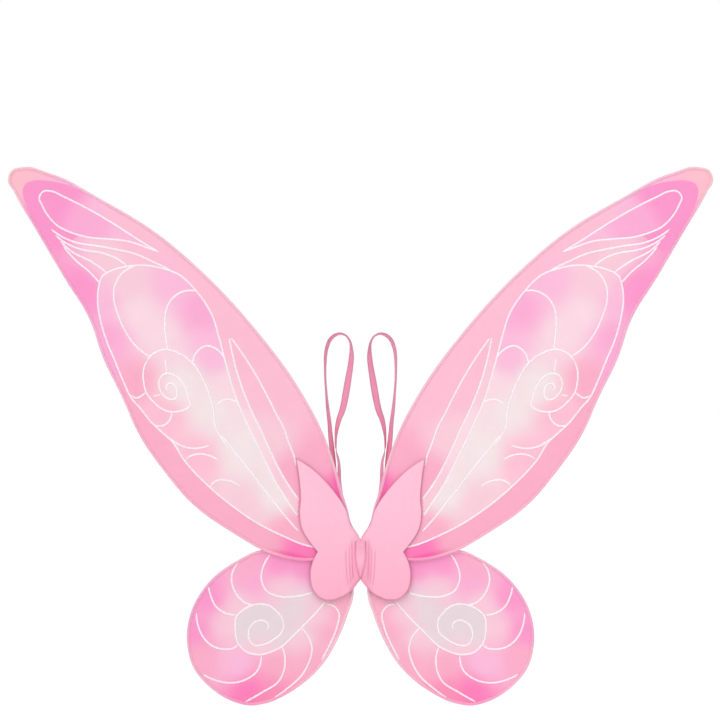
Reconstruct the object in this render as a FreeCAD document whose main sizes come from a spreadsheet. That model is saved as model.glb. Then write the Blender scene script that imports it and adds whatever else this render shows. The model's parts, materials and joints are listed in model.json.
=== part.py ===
import FreeCAD, Part
import math
import os

import Sketcher

# Fairy wings: four sheer wings on wire loops, a butterfly cover over the middle and two elastic
# shoulder loops. Millimetres, +Z up, +X to the wearer's right, -Y away from the wearer's back.
# The origin is on the flat patch that lies against the wearer's back, midway between the sides and
# level with the wings' roots.
#
# Each side folds about a vertical line beside the neck. It is drawn flat, in a frame whose y = 0 is
# midway between its two wings, and its Placement then gives it the small sweep it has at rest.
# Outlines are drawn as (distance out from the middle, height), for a span of OUTLINE_SPAN.

V = FreeCAD.Vector
SIDES = {"left": -1, "right": 1}
OUTLINE_SPAN = 942
NEARLY_STRAIGHT = 1e-3  # radians
NO_BEND = 1e-9
VOLUME_TOLERANCE = 0.01  # share of the volume that a swept path works out at
LEAST_CUT = 1  # cubic millimetres

DIMENSIONS = {
    "span": 942,
    "wire_diameter": 1.6,
    "hem_bore": 2.0,
    "hem_diameter": 3.4,
    "panel_thickness": 0.4,
    "seam_overlap": 0.3,
    "wing_layer": 2.0,
    "root_height": 0.7,
    "root_relief": 2.9,
    "run_start": 26,
    "run_end": 58,
    "notch_slant": 1.5,
    "ferrule_place": 48,
    "ferrule_length": 14,
    "ferrule_bore": 1.7,
    "ferrule_diameter": 3.0,
    "ferrule_clearance": 1.0,
    "butt_gap": 0.6,
    "binding_place": 32,
    "binding_length": 8,
    "binding_depth": 9.0,
    "binding_height": 5.2,
    "binding_slot_depth": 7.6,
    "binding_slot_height": 3.8,
    "stack_thickness": 14,
    "cover_thickness": 2.4,
    "fold_place": 12,
    "rest_sweep": 6,
    "neck_cover_thickness": 1.4,
    "neck_wrap_thickness": 1.2,
    "back_cover_width": 22.8,
    "back_cover_bottom": 26,
    "back_cover_top": 9.6,
    "core_width": 17.2,
    "core_height": 52,
    "band_height": 12,
    "band_thickness": 1.0,
    "strap_width": 9.5,
    "strap_thickness": 1.2,
    "strap_place": 5.15,
    "strap_lean": 13,
    "strap_hinge_height": 24,
    "strap_hinge_back": 1.0,
    "strap_tab_length": 11,
    "strand_start": 8,
    "tail_bottom": 10.2,
    "tail_length": 13,
    "tail_face": 0.2,
    "tack_width": 7.2,
    "tack_height": 2,
    "tack_thickness": 0.6,
    "tack_bottom": 11.6,
}

# Outer edges of the wings, from the outer end of the straight run at the root to its inner end.
UPPER_EDGE = [
    (84, -0.5), (120.5, 8.8), (169, 35.2), (226.3, 76.5), (263.5, 120), (292, 160.5), (321, 222.5),
    (343, 267.5), (363, 323.5), (398, 381), (432, 438.8), (462.3, 490.8), (470.5, 509),
    (465, 520.5), (452, 524.5), (413, 516), (345, 481.3), (277, 440.3), (209, 383), (138, 306),
    (84, 233), (49, 168), (32, 121), (25, 95), (15, 60), (12.6, 42), (13.2, 24), (17, 8),
]
LOWER_EDGE = [
    (90, 9.5), (120, 14.5), (136, 13), (160, 2.5), (202.5, -28.5), (228.5, -74), (232, -112),
    (224, -142.5), (202, -169.5), (168, -190), (150, -194.5), (129.5, -192.5), (90, -175),
    (51.5, -142), (26, -99), (16.4, -74), (10.3, -54), (8.8, -40), (11.5, -23), (16.5, -6),
]

# Outline of one half of the butterfly cover, corner to corner from the top of the neck.
COVER_TOP = [(12.5, 48.5), (22, 73), (34, 90.5), (49, 108), (67, 124.5), (87, 136.5)]
COVER_SIDE = [(87, 136.5), (82, 105), (80.5, 82), (82, 63), (79, 43), (67, 22.5), (57.5, 11)]
COVER_BOTTOM = [(57.5, 11), (63.5, 0), (67.5, -19.5), (61, -44), (52, -51.5), (38, -53.5),
                (23, -48.5), (12.5, -42)]

# The neck cover has a notch at its top and its bottom, where the two halves of the cover meet.
NECK_COVER = [(-11.4, 46), (0, 27.3), (11.4, 46), (11.4, -41), (0, -26.4), (-11.4, -41)]
NECK_WRAP = [(-7, 25.5), (7, 25.5), (7.2, 7), (5.4, -8), (2.6, -20), (0, -25.5),
             (-2.6, -20), (-5.4, -8), (-7.2, 7)]

# One shoulder loop, up its outer strand and down its inner one.
STRAP_LOOP = [
    (18.5, 50), (26.5, 72), (31.5, 100), (35.5, 141), (41, 181), (45, 221), (46, 262), (42.5, 290),
    (28, 302.5), (15.5, 291), (12.8, 268), (20, 221), (28.5, 188), (32.2, 163), (30, 130),
    (27, 100), (22, 74), (13.5, 50),
]


def length(vector):
    return math.hypot(*vector)


def unit(vector):
    size = length(vector)
    return (vector[0] / size, vector[1] / size)


def minus(a, b):
    return (a[0] - b[0], a[1] - b[1])


def along(point, direction, distance):
    return (point[0] + direction[0] * distance, point[1] + direction[1] * distance)


def dot(a, b):
    return a[0] * b[0] + a[1] * b[1]


def mirrored(direction, chord):
    """The direction reflected in the chord, which is how a circular arc leaves its other end."""
    across = unit(chord)
    return minus(along((0, 0), across, 2 * dot(direction, across)), direction)


def tangents(points, first=None, last=None):
    """The direction of travel at each point: that of the circle through it and its neighbours."""
    inner = []
    for before, here, after in zip(points, points[1:], points[2:]):
        a, b = minus(here, before), minus(after, here)
        inner.append(unit(along(along((0, 0), unit(a), length(b)), unit(b), length(a))))
    first = first or mirrored(inner[0], minus(points[1], points[0]))
    last = last or mirrored(inner[-1], minus(points[-1], points[-2]))
    return [first, *inner, last]


def line(start, end):
    return Part.LineSegment(V(*start, 0), V(*end, 0))


def arc(start, direction, end):
    """The arc that leaves start in this direction and reaches end, or a line where it is straight."""
    chord = minus(end, start)
    turn = math.atan2(direction[0] * chord[1] - direction[1] * chord[0], dot(direction, chord))
    if abs(turn) < NEARLY_STRAIGHT:
        return line(start, end)
    outward = unit((chord[1], -chord[0]))
    middle = along(start, chord, 0.5)
    middle = along(middle, outward, length(chord) / 2 * math.tan(turn / 2))
    return Part.Arc(V(*start, 0), V(*middle, 0), V(*end, 0))


def tangent_arcs(points, directions):
    """Arcs through the points, two to each gap, that all join without a corner."""
    pieces = []
    for start, end, leave, arrive in zip(points, points[1:], directions, directions[1:]):
        chord = minus(end, start)
        both = (leave[0] + arrive[0], leave[1] + arrive[1])
        bend = 2 * (1 - dot(leave, arrive))
        reach = dot(chord, both)
        if bend < NO_BEND:
            arm = dot(chord, chord) / (2 * reach)
        else:
            arm = (math.sqrt(reach ** 2 + bend * dot(chord, chord)) - reach) / bend
        a, b = along(start, leave, arm), along(end, arrive, -arm)
        joint = ((a[0] + b[0]) / 2, (a[1] + b[1]) / 2)
        pieces.append(arc(start, leave, joint))
        pieces.append(arc(joint, unit(minus(b, a)), end))
    return pieces


def to_side(points, side, scale=1.0):
    return [(side * scale * out, scale * height) for out, height in points]


def polygon(points):
    return [line(a, b) for a, b in zip(points, points[1:] + points[:1])]


def rectangle(low, high):
    return polygon([low, (high[0], low[1]), high, (low[0], high[1])])


# --- the document -------------------------------------------------------------------------------

doc = FreeCAD.newDocument("fairy_wings")
sheet = doc.addObject("Spreadsheet::Sheet", "dims")
for row, (name, value) in enumerate(DIMENSIONS.items(), start=1):
    sheet.set(f"A{row}", name)
    sheet.set(f"B{row}", str(value))
    sheet.setAlias(f"B{row}", name)
doc.recompute()


def dim(name):
    return float(sheet.get(name))


subparts = []


def new_body(label, placement=None):
    body = doc.addObject("PartDesign::Body", label)
    body.Label = label
    body.Placement = placement or FreeCAD.Placement()
    subparts.append(body)
    return body


def new_sketch(body, name, plane, geometry, offset=None):
    """A sketch on one of the body's own planes, moved along its normal by an expression."""
    sketch = body.newObject("Sketcher::SketchObject", f"{body.Label}_{name}")
    origin = next(f for f in body.Origin.OriginFeatures if f.Role == plane)
    sketch.AttachmentSupport = [(origin, "")]
    sketch.MapMode = "FlatFace"
    if offset:
        sketch.setExpression("AttachmentOffset.Base.z", offset)
    for item in geometry:
        sketch.addGeometry(item)
    return sketch


def bind_radius(sketch, index, expression):
    circle = sketch.Geometry[index]
    constraint = sketch.addConstraint(Sketcher.Constraint("Radius", index, circle.Radius))
    sketch.setExpression(f"Constraints[{constraint}]", expression)


def add_pad(body, sketch, thickness, midplane=True):
    pad = body.newObject("PartDesign::Pad", f"{body.Label}_pad_{sketch.Name}")
    pad.Profile = sketch
    pad.Midplane = midplane
    pad.setExpression("Length", thickness)
    return pad


def slab(label, geometry, offset, thickness, placement=None):
    """A flat piece in the plane of the wings; offset is how far it lies towards -Y."""
    body = new_body(label, placement)
    sketch = new_sketch(body, "outline", "XZ_Plane", geometry, offset)
    add_pad(body, sketch, thickness)
    return body


def tube(label, path, offset, diameter, bore, placement):
    """A round tube, or a rod where bore is None, that follows the path's lines and arcs."""
    body = new_body(label, placement)
    spine = new_sketch(body, "path", "XZ_Plane", path, offset)
    profile = body.newObject("Sketcher::SketchObject", f"{label}_profile")
    profile.AttachmentSupport = [(spine, "Edge1")]
    profile.MapMode = "NormalToEdge"
    profile.MapPathParameter = 0
    for index, alias in enumerate(name for name in (diameter, bore) if name):
        profile.addGeometry(Part.Circle(V(), V(0, 0, 1), dim(alias) / 2))
        bind_radius(profile, index, f"dims.{alias} / 2")
    doc.recompute()
    pipe = body.newObject("PartDesign::AdditivePipe", f"{label}_pipe")
    pipe.Profile = profile
    pipe.Spine = (spine, [])
    pipe.Mode = "Standard"
    doc.recompute()
    section = math.pi / 4 * (dim(diameter) ** 2 - (dim(bore) ** 2 if bore else 0))
    swept = section * spine.Shape.Length
    if abs(pipe.Shape.Volume - swept) > VOLUME_TOLERANCE * swept:
        raise RuntimeError(f"{label} has volume {pipe.Shape.Volume}, and its path says {swept}")
    print(label, "length", round(spine.Shape.Length, 1), "mm")
    return body


# --- one side -----------------------------------------------------------------------------------

SCALE = dim("span") / OUTLINE_SPAN
MIDDLE_Y = -dim("stack_thickness") / 2


def side_placement(side):
    """Moves a side from its own flat frame to its place, swept back about its fold line."""
    fold_line = V(side * dim("fold_place"), -dim("stack_thickness"), 0)
    sweep = FreeCAD.Rotation(V(0, 0, 1), -side * dim("rest_sweep"))
    turn = FreeCAD.Placement(V(), sweep, fold_line)
    return turn * FreeCAD.Placement(V(0, MIDDLE_Y, 0), FreeCAD.Rotation())


def wing_loop(edge, interior, inset):
    """A wing's edge moved inwards by inset: the curved stretch as points and directions."""
    root = dim("root_height") - interior * dim("hem_diameter") / 2
    points = [(dim("run_end"), root), *to_side(edge, 1, SCALE), (dim("run_start"), root)]
    directions = tangents(points, first=(1, 0), last=(1, 0))
    moved = [along(p, (-d[1], d[0]), interior * inset) for p, d in zip(points, directions)]
    return moved, directions


def wing_path(edge, interior, side, start, end):
    """The middle line of a wing's hem, from start on the root's straight run round to end."""
    points, directions = wing_loop(edge, interior, dim("hem_diameter") / 2)
    points = to_side(points, side)
    directions = to_side(directions, side)
    root = dim("root_height")
    lead_in = line((side * start, root), points[0])
    lead_out = line(points[-1], (side * end, root))
    return [lead_in, *tangent_arcs(points, directions), lead_out]


def build_wing(prefix, edge, interior, layer, side, placement):
    """One wing: its wire, the ferrule on the wire's ends, the hem round it and the sheer panel."""
    butt = dim("butt_gap") / 2
    ferrule = dim("ferrule_place")
    wire = wing_path(edge, interior, side, ferrule + butt, ferrule - butt)
    tube(f"{prefix}_wire", wire, layer, "wire_diameter", None, placement)

    clear = dim("ferrule_length") / 2 + dim("ferrule_clearance")
    hem = wing_path(edge, interior, side, ferrule + clear, ferrule - clear)
    tube(f"{prefix}_hem", hem, layer, "hem_diameter", "hem_bore", placement)

    inset = dim("hem_diameter") - dim("seam_overlap")
    points, directions = wing_loop(edge, interior, inset)
    outline = tangent_arcs(to_side(points, side), to_side(directions, side))
    relief = dim("root_height") + interior * dim("root_relief")
    slant = dim("notch_slant")
    corners = [(dim("run_start") + slant, relief), (dim("run_end") - slant, relief)]
    notch = [points[-1], *corners, points[0]]
    notch = to_side(notch, side)
    outline += [line(a, b) for a, b in zip(notch, notch[1:])]
    slab(f"{prefix}_panel", outline, layer, "dims.panel_thickness", placement)

    body = new_body(f"{prefix}_ferrule", placement)
    centre = V(-dim("wing_layer") if layer == "dims.wing_layer" else dim("wing_layer"),
               dim("root_height"), 0)
    rings = [Part.Circle(centre, V(0, 0, 1), dim(name) / 2)
             for name in ("ferrule_diameter", "ferrule_bore")]
    sketch = new_sketch(body, "ring", "YZ_Plane", rings, f"{side} * dims.ferrule_place")
    bind_radius(sketch, 0, "dims.ferrule_diameter / 2")
    bind_radius(sketch, 1, "dims.ferrule_bore / 2")
    add_pad(body, sketch, "dims.ferrule_length")


def build_cover(prefix, side, placement):
    """The front and back leaves of one half of the butterfly cover."""
    outline = []
    for chain in (COVER_TOP, COVER_SIDE, COVER_BOTTOM):
        points = to_side(chain, side)
        outline += tangent_arcs(points, tangents(points))
    outline.append(line(*to_side([COVER_BOTTOM[-1], COVER_TOP[0]], side)))
    depth = "(dims.stack_thickness - dims.cover_thickness) / 2"
    slab(f"{prefix}_cover_front", outline, depth, "dims.cover_thickness", placement)
    slab(f"{prefix}_cover_back", outline, f"-{depth}", "dims.cover_thickness", placement)


def build_binding(prefix, side, placement):
    """Thread wound round both hems where they run side by side: a sleeve with one wide slot."""
    body = new_body(f"{prefix}_wire_binding", placement)
    root = dim("root_height")
    geometry = []
    for depth, height in (("binding_depth", "binding_height"),
                          ("binding_slot_depth", "binding_slot_height")):
        corner = (dim(depth) / 2, dim(height) / 2)
        geometry += rectangle((-corner[0], root - corner[1]), (corner[0], root + corner[1]))
    sketch = new_sketch(body, "section", "YZ_Plane", geometry, f"{side} * dims.binding_place")
    add_pad(body, sketch, "dims.binding_length")


# --- the middle ---------------------------------------------------------------------------------

def build_neck():
    """The wadding core with the elastic band sunk round it, and the covers on its two faces."""
    front = -dim("stack_thickness") + dim("neck_cover_thickness")
    back = -dim("neck_cover_thickness")
    half = dim("core_width") / 2
    wall = dim("band_thickness")
    outer = rectangle((-half, front), (half, back))
    inner = rectangle((-half + wall, front + wall), (half - wall, back - wall))
    beyond = rectangle((-half - wall, front - wall), (half + wall, back + wall))

    core = new_body("neck_core")
    add_pad(core, new_sketch(core, "section", "XY_Plane", outer), "dims.core_height")
    doc.recompute()
    whole = core.Shape.Volume
    recess = core.newObject("PartDesign::Pocket", "neck_core_recess")
    recess.Profile = new_sketch(core, "recess", "XY_Plane", beyond + inner)
    recess.Midplane = True
    recess.setExpression("Length", "dims.band_height")
    doc.recompute()
    if core.Shape.Volume > whole - LEAST_CUT:
        raise RuntimeError("the recess round the neck core cut nothing")

    band = new_body("neck_gather_band")
    add_pad(band, new_sketch(band, "section", "XY_Plane", outer + inner), "dims.band_height")

    thick = "dims.neck_cover_thickness"
    depth = f"dims.stack_thickness - {thick} / 2"
    slab("neck_cover_front", polygon(NECK_COVER), depth, thick)
    wrap = "dims.neck_wrap_thickness"
    slab("neck_wrap", polygon(NECK_WRAP), f"dims.stack_thickness + {wrap} / 2", wrap)

    across = dim("back_cover_width") / 2
    patch = rectangle((-across, -dim("back_cover_bottom")), (across, dim("back_cover_top")))
    slab("neck_cover_back", patch, f"{thick} / 2", thick)


def block(label, sizes, corner):
    """A box whose three sizes are expressions, with its lowest corner at corner."""
    box = doc.addObject("Part::Box", label)
    box.Label = label
    for edge, expression in zip(("Length", "Width", "Height"), sizes):
        box.setExpression(edge, expression)
    box.Placement = FreeCAD.Placement(V(*corner), FreeCAD.Rotation())
    subparts.append(box)
    return box


def build_strap(name, side):
    """One shoulder loop, the tail that is sewn to the neck and the stitches that hold the tail."""
    middle = side * dim("strap_place")
    wide, thick = dim("strap_width"), dim("strap_thickness")
    tail_front = -dim("tail_face") - thick
    block(f"{name}_strap_anchor", ("dims.strap_width", "dims.strap_thickness", "dims.tail_length"),
          (middle - wide / 2, tail_front, dim("tail_bottom")))
    block(f"{name}_strap_tack", ("dims.tack_width", "dims.tack_thickness", "dims.tack_height"),
          (middle - dim("tack_width") / 2, -dim("tail_face"), dim("tack_bottom")))

    hinge = V(0, dim("strap_hinge_back"), dim("strap_hinge_height"))
    lean = FreeCAD.Rotation(V(1, 0, 0), -dim("strap_lean"))
    body = new_body(f"{name}_strap", FreeCAD.Placement(hinge, lean))
    stretch = 1 / math.cos(math.radians(dim("strap_lean")))
    loop = [(out, (height - hinge.z) * stretch) for out, height in STRAP_LOOP]
    half_apart = wide / 4
    start = (dim("strap_place") + half_apart, dim("strand_start"))
    end = (dim("strap_place") - half_apart, dim("strand_start"))
    points = to_side([start, *loop, end], side)
    path = tangent_arcs(points, tangents(points, first=(0, 1), last=(0, -1)))
    spine = new_sketch(body, "path", "XZ_Plane", path)
    near = (points[0][0] - thick / 2, -wide / 2)
    far = (points[0][0] + thick / 2, wide / 2)
    profile = new_sketch(body, "profile", "XY_Plane", rectangle(near, far), "dims.strand_start")
    doc.recompute()
    pipe = body.newObject("PartDesign::AdditivePipe", f"{name}_strap_pipe")
    pipe.Profile = profile
    pipe.Spine = (spine, [])
    doc.recompute()
    swept = wide * thick * spine.Shape.Length
    if abs(pipe.Shape.Volume - swept) > VOLUME_TOLERANCE * swept:
        raise RuntimeError(f"{name} strap has volume {pipe.Shape.Volume}, not {swept}")
    print(name, "strap length", round(spine.Shape.Length, 1), "mm")

    top = dim("strap_tab_length")
    sides = [line((thick / 2, 0), (thick / 2, top)), line((thick / 2, top), (-thick / 2, top)),
             line((-thick / 2, top), (-thick / 2, 0))]
    foot = Part.Arc(V(-thick / 2, 0, 0), V(0, -thick / 2, 0), V(thick / 2, 0, 0))
    tab = new_sketch(body, "tab", "YZ_Plane", [*sides, foot], f"{side} * dims.strap_place")
    add_pad(body, tab, "dims.strap_width")


build_neck()
for name, side in SIDES.items():
    placement = side_placement(side)
    build_wing(f"{name}_upper", UPPER_EDGE, 1, "dims.wing_layer", side, placement)
    build_wing(f"{name}_lower", LOWER_EDGE, -1, "-dims.wing_layer", side, placement)
    build_binding(name, side, placement)
    build_cover(name, side, placement)
    build_strap(name, side)
doc.recompute()

for item in doc.Objects:
    if "Invalid" in item.State or "Error" in item.State:
        raise RuntimeError(f"{item.Label} failed: {item.State}")
os.makedirs("parts", exist_ok=True)
for item in subparts:
    shape = item.Shape
    if shape.isNull() or not shape.isValid() or len(shape.Solids) != 1:
        raise RuntimeError(f"{item.Label} isn't one valid solid")
for item in subparts:
    item.Shape.exportStep(f"parts/{item.Label}.step")
print(len(subparts), "sub-parts")
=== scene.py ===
import json
import math

import bpy
import numpy as np
from mathutils.geometry import delaunay_2d_cdt
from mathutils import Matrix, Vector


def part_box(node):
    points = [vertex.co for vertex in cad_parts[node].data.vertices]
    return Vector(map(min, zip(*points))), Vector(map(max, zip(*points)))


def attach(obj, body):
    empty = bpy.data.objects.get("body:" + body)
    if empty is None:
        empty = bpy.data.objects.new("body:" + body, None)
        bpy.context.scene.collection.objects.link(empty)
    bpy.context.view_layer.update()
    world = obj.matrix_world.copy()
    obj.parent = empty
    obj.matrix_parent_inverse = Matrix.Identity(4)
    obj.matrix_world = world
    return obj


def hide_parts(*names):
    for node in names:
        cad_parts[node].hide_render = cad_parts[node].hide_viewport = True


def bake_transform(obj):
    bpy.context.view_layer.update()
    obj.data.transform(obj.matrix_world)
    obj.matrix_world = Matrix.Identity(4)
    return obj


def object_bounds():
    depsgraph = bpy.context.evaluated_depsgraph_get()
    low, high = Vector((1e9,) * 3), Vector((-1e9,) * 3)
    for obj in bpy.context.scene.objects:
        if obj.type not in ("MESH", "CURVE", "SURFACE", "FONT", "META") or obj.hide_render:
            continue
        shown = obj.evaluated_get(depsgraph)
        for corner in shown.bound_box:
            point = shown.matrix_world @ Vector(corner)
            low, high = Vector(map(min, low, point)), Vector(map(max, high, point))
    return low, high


# Looks for the fairy wings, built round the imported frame. Shapes are worked out in millimetres, in
# the flat frame of one side: out from the middle, depth (towards the wearer's back) and height.
# placed() turns such points into places in the row frame, in metres.

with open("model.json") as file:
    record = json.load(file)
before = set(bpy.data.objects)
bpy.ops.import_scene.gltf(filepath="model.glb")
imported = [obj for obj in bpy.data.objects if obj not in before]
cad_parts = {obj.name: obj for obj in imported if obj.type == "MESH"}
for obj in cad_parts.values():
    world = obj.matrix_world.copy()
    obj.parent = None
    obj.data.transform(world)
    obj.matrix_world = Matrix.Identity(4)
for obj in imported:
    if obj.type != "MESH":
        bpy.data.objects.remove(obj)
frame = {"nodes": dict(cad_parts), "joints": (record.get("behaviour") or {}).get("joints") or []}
cad_low, cad_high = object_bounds()

MM = 0.001
SIDES = {"left": -1, "right": 1}
JOINTS = {joint["name"]: joint for joint in frame["joints"]}
FOLD_OUT = JOINTS["right_fold"]["pos_m"][0] / MM
SWEEP = math.radians(-JOINTS["right_fold"]["range_deg"][0])
STACK = -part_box("neck_cover_front")[0].y / MM
ROOT_END = 70  # the wings' and the cover's straight root edges lie within this of the middle
FOLD_EASE = 3  # the sweep sets in over this much on each side of the fold line

# --- the printed colours ------------------------------------------------------------------------

HOT = "#FF80BC"
CORAL = "#FD92B8"
MAGENTA = "#FC9ACD"
ORCHID = "#FCAFD6"
ROSE = "#FCB0CA"
LILAC = "#FCBEDC"
SALMON = "#FEC0D5"
PEACH = "#FFC0CE"
BLUSH = "#FACEDC"
PETAL = "#FBDBE5"
PEARL = "#F5E6E7"
MIST = "#E9D9DF"
GLITTER = "#FFF6FC"
DYE_BLEED = 16  # how far one colour runs into the next

# Where each colour is sprayed on a wing, as (colour, out, height), cell by cell. Colours fade into
# one another inside a cell and change at the glitter line between two cells.
UPPER_DYE = {
    "rim": [
        (HOT, 30, 90), (ROSE, 55, 135), (SALMON, 100, 215), (SALMON, 205, 345), (SALMON, 310, 440),
        (LILAC, 375, 490), (PEACH, 465, 505), (MAGENTA, 425, 440), (MAGENTA, 375, 365),
        (ORCHID, 340, 290), (ROSE, 285, 190), (ROSE, 200, 80), (ROSE, 130, 25), (HOT, 80, 10),
        (BLUSH, 340, 405), (ROSE, 90, 110), (BLUSH, 120, 165),
    ],
    "tip": [(LILAC, 310, 425), (ORCHID, 365, 450), (MAGENTA, 415, 480)],
    "band": [(LILAC, 345, 470), (MAGENTA, 395, 495), (MAGENTA, 440, 480), (MAGENTA, 405, 425)],
    "strip": [(BLUSH, 100, 90), (PETAL, 135, 170), (BLUSH, 165, 245), (SALMON, 185, 290)],
    "field": [
        (ORCHID, 215, 335), (LILAC, 250, 370), (BLUSH, 315, 375), (LILAC, 345, 345),
        (ORCHID, 335, 300), (ROSE, 305, 240), (SALMON, 265, 190), (SALMON, 220, 135),
        (BLUSH, 155, 70), (ROSE, 95, 35), (PEARL, 115, 90), (PEARL, 160, 145), (PEARL, 200, 200),
        (PETAL, 175, 230), (LILAC, 195, 275), (PEARL, 235, 235), (PETAL, 270, 300),
        (PETAL, 300, 330),
    ],
}
LOWER_DYE = {
    "rim": [
        (MAGENTA, 75, -5), (MAGENTA, 110, -5), (ROSE, 150, -10), (BLUSH, 105, -40),
        (ORCHID, 145, -30), (MAGENTA, 200, -50), (MAGENTA, 225, -95), (BLUSH, 175, -85),
        (ROSE, 215, -130), (LILAC, 165, -140), (HOT, 150, -175), (CORAL, 115, -175),
        (ROSE, 110, -145), (ROSE, 65, -135), (ROSE, 40, -95), (BLUSH, 55, -75), (ROSE, 25, -65),
        (MIST, 90, -60), (MIST, 90, -80), (BLUSH, 80, -105), (BLUSH, 160, -60),
    ],
    "spiral": [(MIST, 90, -80), (MIST, 125, -85), (MIST, 150, -90), (BLUSH, 140, -125)],
}

# --- the glitter lines, as points (out, height) -------------------------------------------------

TIP_LOOP = [(270, 412), (289, 423), (328, 448), (362, 468), (396, 485), (413, 492.5), (423, 492.5),
            (429, 485), (425, 473), (416, 458), (404, 446), (385, 437), (362, 431), (336, 429),
            (310, 426), (289, 419), (270, 412)]
TIP_BAND = [(340, 464), (362, 486), (386, 499), (415, 506), (436, 506.5), (447, 502.5), (451, 494.5),
            (450, 484), (447, 475), (440, 461), (425, 438), (404, 412)]
MAIN_LOOP = [(84, 59), (94, 74), (112, 102), (131, 139), (148.5, 175), (166, 215), (181, 265),
             (189.5, 297.5), (200, 330), (220, 360), (245, 383), (263, 389.5), (285, 394),
             (310, 393), (331, 388), (345, 380), (350.5, 363), (351.5, 346), (348, 322),
             (339.5, 293), (329, 268), (318, 241), (305, 215), (296, 205), (279, 184), (264, 170),
             (253, 160), (236, 134), (202, 98), (168, 70), (135, 48), (103, 32), (75, 20.5),
             (60, 17)]
INNER_VEIN = [(176, 297.5), (170, 269), (159, 231.5), (145, 197.5), (134, 175), (121.5, 147),
              (103, 111), (82.5, 81)]
UPPER_SPIRAL = [(286, 267), (289.5, 259), (291, 248), (290, 237), (287.5, 226), (277, 212),
                (266.5, 203), (256, 199), (246, 199), (235, 202), (228.5, 207.5), (230.5, 216),
                (232.5, 226), (237, 235), (243, 243), (249.5, 248), (257, 250), (265, 248),
                (269, 242), (270, 233), (266.5, 224.5), (260, 217.5), (253, 215), (247.5, 217.5),
                (246, 224), (247.5, 232), (252.7, 236.7), (258.6, 235.5), (260.4, 231), (257, 227)]
UPPER_VEINS = [
    TIP_LOOP, MAIN_LOOP, INNER_VEIN, UPPER_SPIRAL,
    [(413, 442), (399, 432), (379, 424), (353, 420), (328, 415.5), (302, 409.5), (280, 400),
     (254.5, 388)],
    [(407.5, 434), (389, 421), (368, 414), (348, 411), (331, 405.5), (313, 393.5)],
    [(401, 426), (384, 411), (362, 400), (340, 385)],
    [(397, 419), (380, 400), (362, 385), (349, 370.5)],
    [(302, 393), (321, 381.5), (329, 366), (330, 349), (324, 327), (314, 305), (302, 288),
     (282, 272.5)],
    [(220, 360), (237.5, 359.5), (253, 349), (260.5, 334), (262, 313.5), (260, 291.5),
     (258.5, 282.5)],
    [(286, 267), (280.5, 274), (263, 282), (241, 276), (223.5, 262), (209, 237), (198.5, 208),
     (193, 175), (189, 167.5), (178, 152.5)],
    [(225, 262), (220, 278), (206, 287), (193, 282.5), (183, 271)],
    [(193, 206.5), (184, 214.5), (173.5, 215), (162, 210)],
    [(173.5, 297.5), (155.5, 272.5), (138, 244), (123.5, 217), (113, 196), (102, 175), (97, 160),
     (89, 139), (86, 126)],
    [(262, 271), (260.5, 260), (259, 250)],
    [(278, 220), (268, 221.5)],
    [(252.7, 199), (255, 189), (262, 181.5), (276, 181)],
    [(307, 221), (299, 217.5), (292, 221), (287.5, 225)],
    [(262, 167.5), (251, 160), (237.5, 152.5), (202, 154)],
    [(234, 135.5), (224.5, 141), (209.5, 142), (191, 134)],
    [(202, 98.5), (194.5, 106), (176, 106.5), (161, 98.5)],
    [(187, 167.5), (155, 128), (120, 83), (100, 58), (82.5, 38.5)],
]
LOWER_SPIRAL = [(125, -94), (123, -86), (130, -81), (140, -82.5), (148, -91), (149.5, -103),
                (142, -114), (128.5, -113), (115, -106), (104.5, -96), (103.5, -81),
                (111.5, -69), (125, -60), (140, -59.5), (155.5, -65.5), (166, -75.5),
                (167.5, -91), (164, -110), (152, -123), (135, -126.5), (118, -122.5),
                (104.5, -115.5), (91, -103), (79, -91), (62, -74), (46, -55)]
LOWER_VEINS = [
    LOWER_SPIRAL,
    [(120, 8), (130, -9), (132.5, -24.5), (125, -41.5), (109.5, -48.5), (87.5, -49), (63, -43.5)],
    [(159, 1), (170, -13), (172.5, -26), (166, -45), (154, -57), (143, -60)],
    [(204, -31.5), (200.5, -47), (193, -62), (181, -70.5), (166, -73)],
    [(219.5, -70), (217.5, -86), (210, -103), (196, -115.5), (179.5, -119), (168, -117),
     (163.5, -112.5)],
    [(211, -152), (195, -160), (172.5, -164), (154, -160), (138.5, -149), (132.5, -128)],
    [(154, -189.5), (132, -177.5), (108, -161), (101, -142), (101, -128), (104.5, -116.5)],
    [(116.5, -185.5), (96, -171), (79, -155.5), (69, -138.5), (64.5, -118), (69, -103), (79, -91)],
    [(46, -59.5), (35, -62), (28, -72), (30.5, -89), (40, -113), (52, -135)],
]

# One shoulder loop as (out, height, twist in degrees): 90 shows the band's full width from the
# front, 0 shows its edge. It starts and ends at the tail that is sewn to the neck.
STRAP_LOOP = [
    (6.8, 29, 78), (9.8, 34, 56), (13.8, 40.5, 42), (18, 49, 38), (22.5, 60, 38), (28.5, 80, 42),
    (33.4, 101, 46), (37.8, 141, 46), (40.3, 163, 42), (42, 183, 34), (44.6, 204, 27),
    (46.4, 224, 18), (47.6, 240, 16), (48, 259, 20), (47.6, 273, 26), (45.8, 284.5, 30),
    (41.8, 294.8, 32), (35.4, 301.3, 28), (27.4, 303.8, 20), (19.6, 301, 14), (14.6, 293.8, 17),
    (12.4, 281, 32), (12.4, 272, 47), (13.8, 259, 54), (16, 246, 63), (18.6, 230, 76),
    (21.2, 215, 70), (24.9, 199, 60), (29, 188, 47), (31.4, 178, 38), (33.3, 163, 20),
    (33.2, 150, 10), (31.8, 141, -12), (29.4, 131, -20), (28.8, 121, -27), (28.4, 104, -31),
    (25, 80, -34), (20.2, 60, -36), (16, 49, -37), (12.2, 40.5, -42), (8.6, 34, -56),
    (6.2, 29, -78),
]

# --- small geometry helpers ---------------------------------------------------------------------

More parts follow.
